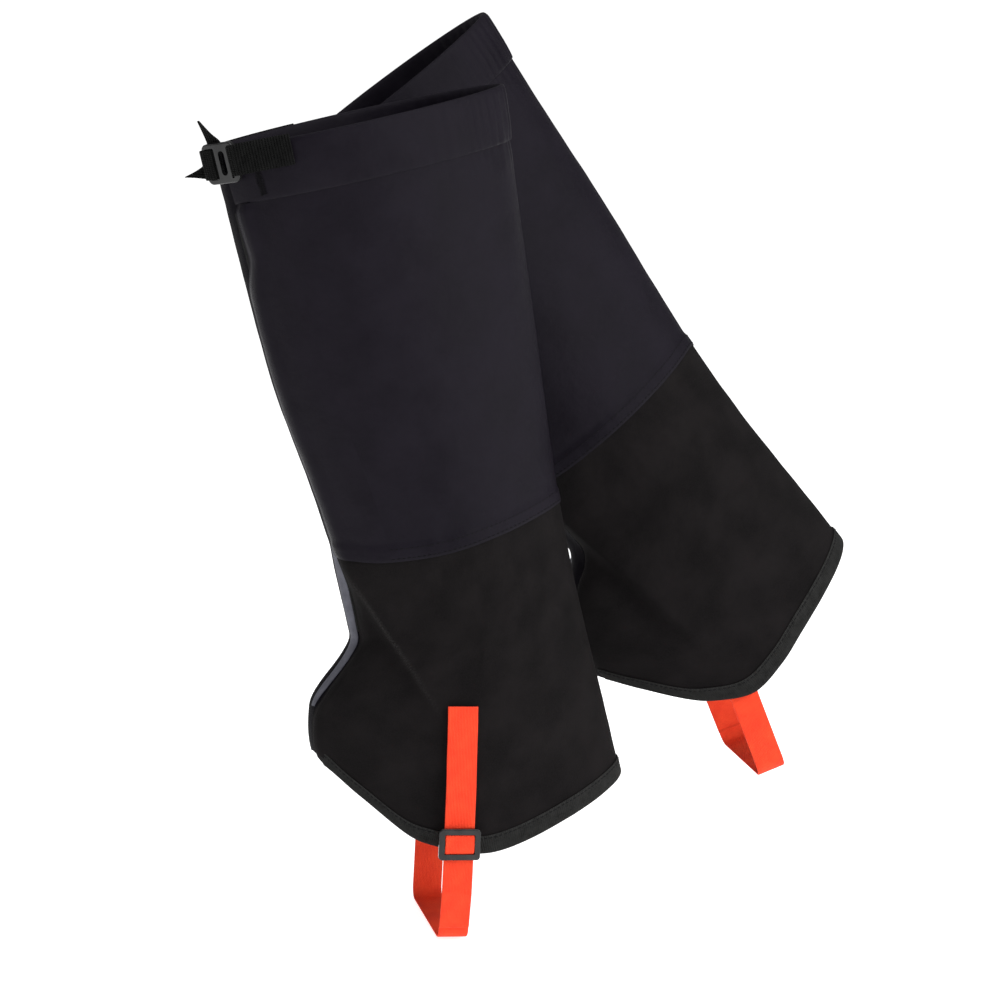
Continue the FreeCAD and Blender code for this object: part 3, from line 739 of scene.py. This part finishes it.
def upper_cloth(side_name):
    prefix, seam = side_name + "_", seam_of(side_name)
    bottom = lambda angle: seam(angle) - 1.2

    def lap(angle, height, thickness):
        """Lift of the upper cloth's faces where it laps over the lower, with a rolled outer edge."""
        from_edge = height - seam(angle) + 1.2
        step = 0.85 * ease((SEAM_LAP + 2.5 - from_edge) / 2.5)
        return thickness + step - (0.35 * np.exp(-np.maximum(from_edge, 0) / 0.6) if thickness else 0.0)

    faces = [lambda u, angle, height, t=t: lap(angle, height, t) for t in (0.0, FABRIC)]
    shaped = [lambda u, angle, height, t=t: lap(angle, height, t) + flap_shape(u, height)
              for t in (0.0, FABRIC)]
    panel = layer(prefix + "upper_panel", side_name, AROUND, level(PANEL_TOP), bottom, *faces, 200, 128,
                  ("first",))
    flap = layer(prefix + "flap_upper", side_name, FLAP_EDGES, level(FLAP_TOP), bottom, *shaped, 46, 116,
                 ("first", "last"))
    return panel, flap


def lower_cloth(side_name):
    prefix, seam, hem = side_name + "_", seam_of(side_name), hem_of(SIDES[side_name])
    top = lambda angle: seam(angle) + SEAM_LAP - 1
    panel = layer(prefix + "lower_panel", side_name, AROUND, top, hem, flat_lift(0.0),
                  flat_lift(LOWER_FABRIC), 250, 140, ("first",))
    shaped = [lambda u, angle, height, t=t: t + flap_shape(u, height) for t in (0.0, LOWER_FABRIC)]
    flap = layer(prefix + "flap_lower", side_name, FLAP_EDGES, top, hem, *shaped, 46, 90, ("first", "last"))
    return panel, flap


def underlap(side_name):
    hem = hem_of(SIDES[side_name])
    edges = (across_front(INNER_EDGE - 0.3), across_front(UNDERLAP_EDGE))
    depth = lambda u: -UNDERLAP_DEPTH * ease(u / UNDERLAP_DIP)
    return layer(side_name + "_front_underlap", side_name, edges, level(-2.0), hem,
                 lambda u, angle, height: depth(u), lambda u, angle, height: depth(u) + FABRIC, 44, 170)


def painted_sheen_strip(side_name):
    """A pale strip laid on the underlap beside the flap's edge at the ankle: a painted highlight for the
    sheen of the underlap's cloth there.
    """
    ends = ((-336.0, 0.05), (-325.0, 0.7), (-312.0, 1.0), (-262.0, 1.0), (-244.0, 0.05))
    reach = lambda height: smooth_lookup(height, ends, 1)
    edges = (lambda height: front_angle(2.5 - 9.0 * (1 - reach(height)) / 2, height),
             lambda height: front_angle(-9.5 + 3.0 * (1 - reach(height)), height))
    base = FABRIC - UNDERLAP_DEPTH
    return layer(side_name + "_underlap_painted_sheen", side_name, edges, level(-244), level(-336),
                 flat_lift(base + 0.04), flat_lift(base + 0.34), 12, 90)


def top_hem(side_name):
    profile = polyline(((1.1, -HEM_HEIGHT), (1.75, -30), (2.1, -18), (1.95, -6), (1.55, -1.2), (0.45, 0.55),
                        (-1.2, -0.8), (-1.75, -6), (-1.95, -18), (-1.6, -28), (-0.75, -HEM_HEIGHT + 1)), 4)
    return folded_band(side_name + "_top_hem", side_name, BAND_EDGES, level(0.0), profile, 0.7, 230)


def bottom_binding(side_name):
    profile = polyline(((1.3, BINDING_HEIGHT), (1.45, 8.8), (1.5, 4), (1.35, 0.6), (0.45, -0.75),
                        (-0.45, 0.4), (-0.5, 4), (-0.45, BINDING_HEIGHT - 1)), 4)
    return folded_band(side_name + "_bottom_binding", side_name, BAND_EDGES, hem_of(SIDES[side_name]),
                       profile, 0.65, 230)


def tape(name, side_name, across, heights, low, high, columns=16, rows=200, rough=0.12, seed=5):
    edges = (across_front(across[0]), across_front(across[1]))
    angle, height = grid_on(edges, level(heights[0]), level(heights[1]), columns, rows)
    grains = np.random.default_rng(seed).uniform(-rough, rough, angle.shape)
    inner = lifted(side_name, angle, height, low)
    outer = lifted(side_name, angle, height, high + grains)
    return slab(name, side_name, outer, inner)


def ankle_tape(side_name):
    seam = seam_of(side_name)
    return layer(side_name + "_ankle_seam_tape", side_name, AROUND, lambda angle: seam(angle) + 7,
                 lambda angle: seam(angle) - 7, flat_lift(-0.8), flat_lift(-0.1), 150, 8)


def elastic(side_name):
    reach = math.radians(75)
    edges = (lambda h: np.full(np.shape(h), -reach), lambda h: np.full(np.shape(h), reach))
    return layer(side_name + "_top_elastic", side_name, edges, level(-7), level(-25), flat_lift(-1.1),
                 flat_lift(-0.12), 120, 14)


# ---- straps and hardware ----
def buckle_frame():
    """Origin, sideways, upward and outward directions of the buckle in a gaiter's frame."""
    angle = front_angle(BUCKLE_ACROSS, BUCKLE_HEIGHT)
    out = shell_normal(angle, BUCKLE_HEIGHT)
    origin = shell_point(angle, BUCKLE_HEIGHT) + out * BUCKLE_LIFT
    sideways = unit(np.cross((0, 0, 1), out))
    return origin, sideways, np.cross(out, sideways), out


def from_buckle(points):
    """Points drawn on the buckle, taken to the gaiter's frame."""
    origin, sideways, up, out = buckle_frame()
    return origin + np.asarray(points, float) @ np.stack([sideways, up, out])


def strap_anchor(side_name):
    """Webbing folded round the buckle's bar, both ends sewn to the hem."""
    def on_hem(across, lift):
        height = np.full(len(across), -5.6)
        return lifted(side_name, front_angle(np.array(across), height), height, np.array(lift))
    loop = from_buckle([(x, 0.9, z) for x, z in (
        (14.4, 2.7), (11.4, 3.75), (8.6, 3.4), (7.9, 1.4), (8.6, -0.5), (11.4, -0.95), (13.8, -0.7))])
    top = on_hem((-37.6, -35.4, -33.0), (3.7, 3.9, 4.5))
    low = on_hem((-31.0, -33.6, -36.8), (3.3, 2.7, 2.5))
    path = polyline(np.concatenate([top, loop, low]), 8)
    return webbing(side_name + "_top_strap_anchor", side_name, path, (0, 0, 1), thickness=1.25, rib=0.22)


def strap_run(side_name):
    across = np.linspace(41.0, -3.7, 16)
    heights = np.full(16, -7.5)
    lifts = 2.65 + 0.9 * ease((14 - across) / 16)
    path = lifted(side_name, front_angle(across, heights), heights, lifts)
    tail = from_buckle([(-9.5, -0.6, -2.5), (-5.0, -0.6, -1.9)])
    return webbing(side_name + "_top_strap_run", side_name, polyline(np.concatenate([path, tail]), 5),
                   (0, 0, 1), thickness=1.2, rib=0.2)


def ruled_webbing(name, side_name, low_edge, high_edge, pitch=1.7, rib=0.14, thickness=1.3, rows=16):
    """Webbing between two edges drawn on the buckle, with ribs across its length."""
    low_edge, high_edge = polyline(low_edge, 16), polyline(high_edge, 16)
    v = np.linspace(0, 1, rows)[None, :, None]
    grid = low_edge[:, None] * (1 - v) + high_edge[:, None] * v
    ribs = rib * np.sin(grid[..., 0] * 2 * math.pi / pitch)
    outer, inner = grid.copy(), grid.copy()
    outer[..., 2] += thickness / 2 + ribs
    inner[..., 2] -= thickness / 2 + ribs
    return slab(name, side_name, from_buckle(outer), from_buckle(inner))


def strap_loop(side_name):
    """The webbing that comes up through the buckle's window and wraps its inner bar."""
    path = from_buckle(polyline([(x, 0, z) for x, z in (
        (-3.5, -0.4), (-4.0, 1.5), (-5.4, 3.3), (-8.6, 3.8), (-11.8, 3.7), (-13.4, 2.6), (-13.4, 0.8),
        (-12.4, -0.5), (-9.6, -0.85))], 6))
    up = buckle_frame()[2]
    return webbing(side_name + "_top_strap_loop", side_name, path, up, width=17.6, thickness=1.1, rib=0.16)


def strap_tail(side_name):
    """The pointed end of the webbing, which stands out behind the buckle."""
    low_edge = ((-9.5, -8.8, -1.0), (-12.5, -8.8, -0.9), (-17, -8.0, 0.1), (-22, -6.4, 2.4), (-27, -4.9, 5.6))
    high_edge = ((-9.5, 7.6, -1.0), (-12.5, 2.6, -0.9), (-17, -0.8, 0.1), (-22, -2.9, 2.4), (-27, -4.5, 5.6))
    return ruled_webbing(side_name + "_top_strap_tail", side_name, low_edge, high_edge, thickness=1.1)


def strap_curl(side_name):
    """The curled corner of the webbing that stands above the buckle."""
    low_edge = ((-9.5, 8.6, -1.1), (-9.8, 13, -1.1), (-10.4, 18, -0.5), (-11.2, 26, 1.0))
    high_edge = ((1.8, 8.6, -1.1), (-0.6, 13, -1.1), (-5.4, 18, -0.5), (-10.4, 26, 1.0))
    return ruled_webbing(side_name + "_top_strap_curl", side_name, low_edge, high_edge, rib=0.0,
                         thickness=1.1)


def side_width(x, z):
    front, back, half, widest = (smooth_lookup(z, STATIONS, column) for column in (1, 2, 3, 4))
    behind = x > widest
    reach = np.where(behind, back - widest, front + widest)
    roundness = np.where(behind, BACK_ROUNDNESS, FRONT_ROUNDNESS)
    return half * (1 - np.abs((x - widest) / reach) ** roundness) ** (1 / roundness)


def strap_frame(side_name):
    slant = math.radians(SIDES[side_name]["strap_slant"])
    down = np.array([-math.sin(slant), 0, -math.cos(slant)])
    over = np.array([math.cos(slant), 0, -math.sin(slant)])
    return down, over


def instep_upper(side_name):
    down, over = strap_frame(side_name)
    along = np.linspace(0, SLIDER_AT, 30)[:, None]
    spots = np.array(SIDES[side_name]["strap_top"]) + down * along
    on_panel = side_width(spots[:, 0], spots[:, 2]) + FABRIC + 1.5
    plane = ease((along[:, 0] - 30) / 22)
    spots[:, 1] = -(on_panel * (1 - plane) + INSTEP_PLANE * plane + WEBBING / 2)
    return webbing(side_name + "_instep_strap_upper", side_name, spots, over, thickness=1.3, rib=0.05,
                   pitch=1.0)


def instep_lower(side_name):
    down, over = strap_frame(side_name)
    inner = SIDES[side_name]["inner_run"]
    middle = INSTEP_PLANE + WEBBING / 2
    bend = STRAP_BEND
    radius = bend * BEND_PULL
    path = [(-middle, SLIDER_AT + 0.3), (-middle, SLIDER_AT + 16), (-middle + 0.6, SLIDER_AT + 31),
            (-SOLE_HALF - 1.2, SOLE_AT - bend)]
    for turn in np.linspace(0, math.pi / 2, 7):
        path.append((-SOLE_HALF + radius * (1 - math.cos(turn)), SOLE_AT - radius * (1 - math.sin(turn))))
    for turn in np.linspace(math.pi / 2, 0, 7):
        path.append((SOLE_HALF - radius * (1 - math.cos(turn)), SOLE_AT - radius * (1 - math.sin(turn))))
    path += [(inner, SLIDER_AT + 12), (inner, SLIDER_AT - 10), (inner, SLIDER_AT - 30)]
    origin = np.array(SIDES[side_name]["strap_top"])
    points = np.array([origin + np.array([0, y, 0]) + down * depth for y, depth in path])
    return webbing(side_name + "_instep_strap_lower", side_name, points, over, thickness=1.3, rib=0.05,
                   pitch=1.0)


def slider_webbing(side_name):
    """The turn of webbing over the slider's bar."""
    down, over = strap_frame(side_name)
    origin = np.array(SIDES[side_name]["strap_top"]) + down * SLIDER_AT
    reach = INSTEP_PLANE + WEBBING + SLIDER_GAP
    bow = polyline([(-5.8, 0.5), (-5.0, 1.6), (-2.5, 2.2), (0, 2.35), (2.5, 2.2), (5.0, 1.6), (5.8, 0.5)], 4)
    points = np.array([origin + down * along + np.array([0, -reach - lift, 0]) for along, lift in bow])
    return webbing(side_name + "_slider_webbing", side_name, points, over, width=17.4, thickness=1.1,
                   rib=0.05, pitch=1.0)


def hook_tab(side_name):
    heights = np.linspace(-345, -356, 10)
    angle = front_angle(np.full(10, HOOK_ACROSS), heights)
    lift = np.full(10, -UNDERLAP_DEPTH - 1.1)
    return webbing(side_name + "_hook_tab", side_name, lifted(side_name, angle, heights, lift), (0, 1, 0),
                   width=10, thickness=1.1, rib=0.1)


def bar_tacks(side_name):
    """Dense zigzags of thread that hold the top strap."""
    rows = []
    for across, top, bottom, lift in ((-28.0, -15.5, -29.0, 2.6), (38.0, -1.0, -15.0, 3.6)):
        heights = np.linspace(top, bottom, 28)
        places = across + 0.9 * np.where(np.arange(28) % 2, 1, -1)
        angle = front_angle(places, heights)
        line = lifted(side_name, angle, heights, np.full(28, lift))
        rows.append((line, shell_normal(angle, heights)))
    return stitches(side_name + "_bar_tacks", side_name, rows, length=2.2, gap=1.9, radius=0.28)


def seam_stitches(side_name):
    hem = hem_of(SIDES[side_name])
    fixed = [
        row_on(side_name, BAND_EDGES, level(0.0), -HEM_HEIGHT + 1.4, 1.75),
        row_on(side_name, AROUND, seam_of(side_name), SEAM_LAP - 1.6, 1.75),
        row_on(side_name, AROUND, seam_of(side_name), 0.6, 1.75),
        row_on(side_name, BAND_EDGES, hem, BINDING_HEIGHT - 1.6, 1.82),
    ]
    return stitches(side_name + "_seam_stitches", side_name, fixed)


def gaiter(side_name):
    prefix = side_name + "_"
    body, flap_body = prefix + "gaiter", prefix + "flap"

    def sewn(piece, slot_name, *nodes, rides=body):
        dress(piece, slot_name)
        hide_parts(*(prefix + node for node in nodes))
        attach(piece, rides)
        return piece

    def peels(piece, slot_name, *nodes):
        dress(piece, slot_name)
        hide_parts(*(prefix + node for node in nodes))
        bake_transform(piece)
        return piece

    panel, flap = upper_cloth(side_name)
    sewn(panel, "satin_cloth", "upper_panel")
    peels(flap, "satin_cloth", "flap_upper")
    low_panel, low_flap = lower_cloth(side_name)
    sewn(low_panel, "heavy_cloth", "lower_panel")
    peels(low_flap, "heavy_cloth", "flap_lower", "toe_flap")
    # underlap cloth darkened: painted shade of the recess under the flap
    under = sewn(underlap(side_name), "underlap_satin_painted_shade", "front_underlap")
    hem = sewn(top_hem(side_name), "satin_cloth", "top_hem")
    binding = sewn(bottom_binding(side_name), "binding", "bottom_binding")
    seam = sewn(ankle_tape(side_name), "seam_tape", "ankle_seam_tape")
    band = sewn(elastic(side_name), "elastic", "top_elastic")
    hooks = sewn(tape(prefix + "hook_tape", side_name, HOOK_TAPE["across"], HOOK_TAPE["heights"],
                      FABRIC - UNDERLAP_DEPTH + 0.1, -1.3), "hook_and_loop", "hook_tape")
    loops = peels(tape(prefix + "loop_tape", side_name, LOOP_TAPE["across"], LOOP_TAPE["heights"],
                       -0.85, -0.12, seed=6), "hook_and_loop", "loop_tape")
    sewn(strap_anchor(side_name), "black_webbing", "top_strap_anchor")
    sewn(strap_run(side_name), "black_webbing", "top_strap_run")
    tail = sewn(strap_tail(side_name), "black_webbing", "top_strap_tail", rides=prefix + "buckle")
    for piece in (strap_curl(side_name), strap_loop(side_name)):
        sewn(piece, "black_webbing", rides=prefix + "buckle")
    # pale strip at the ankle: painted sheen highlight on the underlap
    sheen_strip_piece = sewn(painted_sheen_strip(side_name), "painted_sheen_strip")
    sewn(instep_upper(side_name), "orange_webbing", "instep_strap_upper")
    sewn(instep_lower(side_name), "orange_webbing", "instep_strap_lower")
    sewn(slider_webbing(side_name), "orange_webbing", "slider_webbing", rides=prefix + "slider")
    sewn(hook_tab(side_name), "black_webbing", "hook_tab")
    sewn(bar_tacks(side_name), "thread", "bar_tacks")
    sewn(seam_stitches(side_name), "thread")
    for node, slot_name in (("buckle", "buckle_plastic"), ("slider", "buckle_plastic"),
                            ("lace_hook", "metal"), ("hook_rivet", "metal")):
        dress(frame["nodes"][prefix + node], slot_name)


for side_name in SIDES:
    gaiter(side_name)


# ---- floor, light and camera ----
def stage_floor():
    low = min(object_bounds()[0][2], CAD_LOW[2]) - 0.0015
    mesh = bpy.data.meshes.new("floor")
    reach = 9.0
    mesh.from_pydata([(-reach, -reach, low), (reach, -reach, low), (reach, reach, low), (-reach, reach, low)],
                     [], [(0, 1, 2, 3)])
    floor = bpy.data.objects.new("floor", mesh)
    bpy.context.scene.collection.objects.link(floor)
    material, tree, shader = nodes_of("floor_white")
    shader.inputs["Base Color"].default_value = (0.93, 0.93, 0.93, 1)
    shader.inputs["Roughness"].default_value = 0.9
    shader.inputs["Specular IOR Level"].default_value = 0.1
    shader.inputs["Emission Color"].default_value = (1, 1, 1, 1)
    shader.inputs["Emission Strength"].default_value = 0.82
    mesh.materials.append(material)


def soft_light(name, location, target, size, power, colour=(1, 1, 1)):
    data = bpy.data.lights.new(name, "AREA")
    data.shape = "RECTANGLE"
    data.size, data.size_y = size
    data.energy = power
    data.color = colour
    lamp = bpy.data.objects.new(name, data)
    bpy.context.scene.collection.objects.link(lamp)
    lamp.location = location
    lamp.rotation_mode = "QUATERNION"
    lamp.rotation_quaternion = (Vector(target) - Vector(location)).to_track_quat("-Z", "Y")


def studio():
    world = bpy.data.worlds.new("studio")
    bpy.context.scene.world = world
    world.use_nodes = True
    tree = world.node_tree
    seen = tree.nodes["Background"]
    seen.inputs["Color"].default_value = (1, 1, 1, 1)
    seen.inputs["Strength"].default_value = 1.05
    lighting = tree.nodes.new("ShaderNodeBackground")
    lighting.inputs["Color"].default_value = (1, 1, 1, 1)
    lighting.inputs["Strength"].default_value = 0.27
    path = tree.nodes.new("ShaderNodeLightPath")
    mixed = tree.nodes.new("ShaderNodeMixShader")
    tree.links.new(path.outputs["Is Camera Ray"], mixed.inputs[0])
    tree.links.new(lighting.outputs[0], mixed.inputs[1])
    tree.links.new(seen.outputs[0], mixed.inputs[2])
    tree.links.new(mixed.outputs[0], tree.nodes["World Output"].inputs[0])
    middle = (0.1, 0.05, -0.2)
    soft_light("key_light", (1.7, -1.5, 0.9), middle, (1.3, 1.3), 46)
    soft_light("top_light", (0.1, -0.6, 2.0), middle, (1.8, 1.8), 32)
    soft_light("rim_light", (-1.8, 0.7, 0.3), middle, (0.5, 1.6), 3)


def photo_camera():
    azimuth, elevation = math.radians(-10.72), math.radians(9.42)
    back = Vector((math.sin(azimuth) * math.cos(elevation), -math.cos(azimuth) * math.cos(elevation),
                   math.sin(elevation)))
    data = bpy.data.cameras.new("camera")
    data.lens = 125.87
    data.sensor_width = 36.0
    camera = bpy.data.objects.new("camera", data)
    bpy.context.scene.collection.objects.link(camera)
    camera.location = (-0.302, -2.039, 0.114)
    camera.rotation_mode = "QUATERNION"
    camera.rotation_quaternion = (-back).to_track_quat("-Z", "Y")
    bpy.context.scene.camera = camera


stage_floor()
studio()
photo_camera()
bpy.context.scene.view_settings.view_transform = "Standard"
